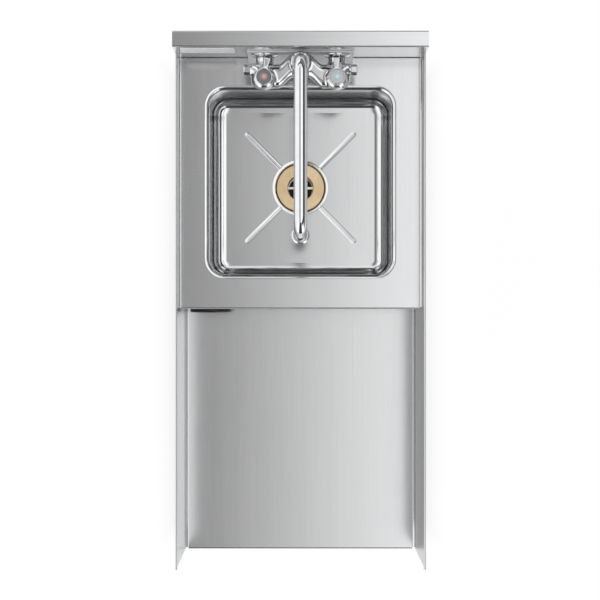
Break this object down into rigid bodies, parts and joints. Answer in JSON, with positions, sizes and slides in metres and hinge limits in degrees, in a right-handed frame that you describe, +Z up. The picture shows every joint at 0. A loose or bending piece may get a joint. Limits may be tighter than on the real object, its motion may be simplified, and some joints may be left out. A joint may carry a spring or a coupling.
{
  "type": "underbar blender station with dump sink",
  "caption": "Narrow stainless underbar blender station: deck with a deep dump sink and swing-spout faucet, and a recessed blender shelf between full-length side panels, on adjustable legs.",
  "frame": {"origin": "on the floor, under the centre of the bounding box", "axes": "+Z up; the user stands at -Y, before the recessed shelf; the backsplash is at +Y; +X is to the user's right"},
  "size_m": [0.3556, 0.756, 0.9075],
  "materials": {
    "stainless": "brushed 18-gauge stainless sheet",
    "leg_tube": "satin stainless tube and castings",
    "chrome": "polished chrome plate",
    "brass": "machined brass",
    "aged_brass": "dull tan brass strainer",
    "black_plastic": "moulded black plastic",
    "rubber": "black rubber gasket",
    "white_plate": "blank white enamelled plate",
    "hot_insert": "grey disc with a rose centre",
    "cold_insert": "pale grey disc with a light blue centre"
  },
  "bodies": {
    "station": {"deck": "stainless", "sink_bowl": "stainless", "backsplash": "stainless", "left_side_panel": "stainless", "right_side_panel": "stainless", "riser_panel": "stainless", "blender_shelf": "stainless", "faucet_bracket": "stainless", "blank_plate": "white_plate", "cord_grommet": "black_plastic", "faucet_body": "chrome", "hot_wall_flange": "chrome", "hot_shank_nut": "brass", "hot_body_plug": "chrome", "hot_bonnet": "chrome", "cold_wall_flange": "chrome", "cold_shank_nut": "brass", "cold_body_plug": "chrome", "cold_bonnet": "chrome", "spout_nut": "chrome", "drain_flange": "aged_brass", "drain_gasket": "rubber", "drain_locknut": "brass", "tailpiece": "chrome", "tailpiece_nut": "chrome", "front_leg_channel": "stainless", "rear_leg_channel": "stainless", "front_left_leg_socket": "stainless", "front_left_leg_set_screw": "stainless", "front_left_leg": "leg_tube", "front_left_foot_bushing": "black_plastic", "front_right_leg_socket": "stainless", "front_right_leg_set_screw": "stainless", "front_right_leg": "leg_tube", "front_right_foot_bushing": "black_plastic", "rear_left_leg_socket": "stainless", "rear_left_leg_set_screw": "stainless", "rear_left_leg": "leg_tube", "rear_left_foot_bushing": "black_plastic", "rear_right_leg_socket": "stainless", "rear_right_leg_set_screw": "stainless", "rear_right_leg": "leg_tube", "rear_right_foot_bushing": "black_plastic", "left_rail": "leg_tube", "right_rail": "leg_tube"},
    "hot_handle_set": {"hot_handle": "chrome", "hot_stem": "brass", "hot_handle_screw": "chrome", "hot_index_button": "hot_insert"},
    "cold_handle_set": {"cold_handle": "chrome", "cold_stem": "brass", "cold_handle_screw": "chrome", "cold_index_button": "cold_insert"},
    "spout_set": {"spout": "chrome", "aerator": "chrome"},
    "front_left_foot_set": {"front_left_foot": "leg_tube"},
    "front_right_foot_set": {"front_right_foot": "leg_tube"},
    "rear_left_foot_set": {"rear_left_foot": "leg_tube"},
    "rear_right_foot_set": {"rear_right_foot": "leg_tube"}
  },
  "joints": [
    {"name": "hot_handle_turn", "type": "hinge", "parent": "station", "child": "hot_handle_set", "pos_m": [-0.0508, 0.3149, 0.8688], "axis": [0, 0, 1], "range_deg": [0, 90]},
    {"name": "cold_handle_turn", "type": "hinge", "parent": "station", "child": "cold_handle_set", "pos_m": [0.0508, 0.3149, 0.8688], "axis": [0, 0, -1], "range_deg": [0, 90]},
    {"name": "spout_swing", "type": "hinge", "parent": "station", "child": "spout_set", "pos_m": [0, 0.3369, 0.859], "axis": [0, 0, 1], "range_deg": [-90, 90]},
    {"name": "front_left_foot_screw", "type": "slide", "parent": "station", "child": "front_left_foot_set", "axis": [0, 0, -1], "range_m": [0, 0.025]},
    {"name": "front_right_foot_screw", "type": "slide", "parent": "station", "child": "front_right_foot_set", "axis": [0, 0, -1], "range_m": [0, 0.025]},
    {"name": "rear_left_foot_screw", "type": "slide", "parent": "station", "child": "rear_left_foot_set", "axis": [0, 0, -1], "range_m": [0, 0.025]},
    {"name": "rear_right_foot_screw", "type": "slide", "parent": "station", "child": "rear_right_foot_set", "axis": [0, 0, -1], "range_m": [0, 0.025]}
  ]
}
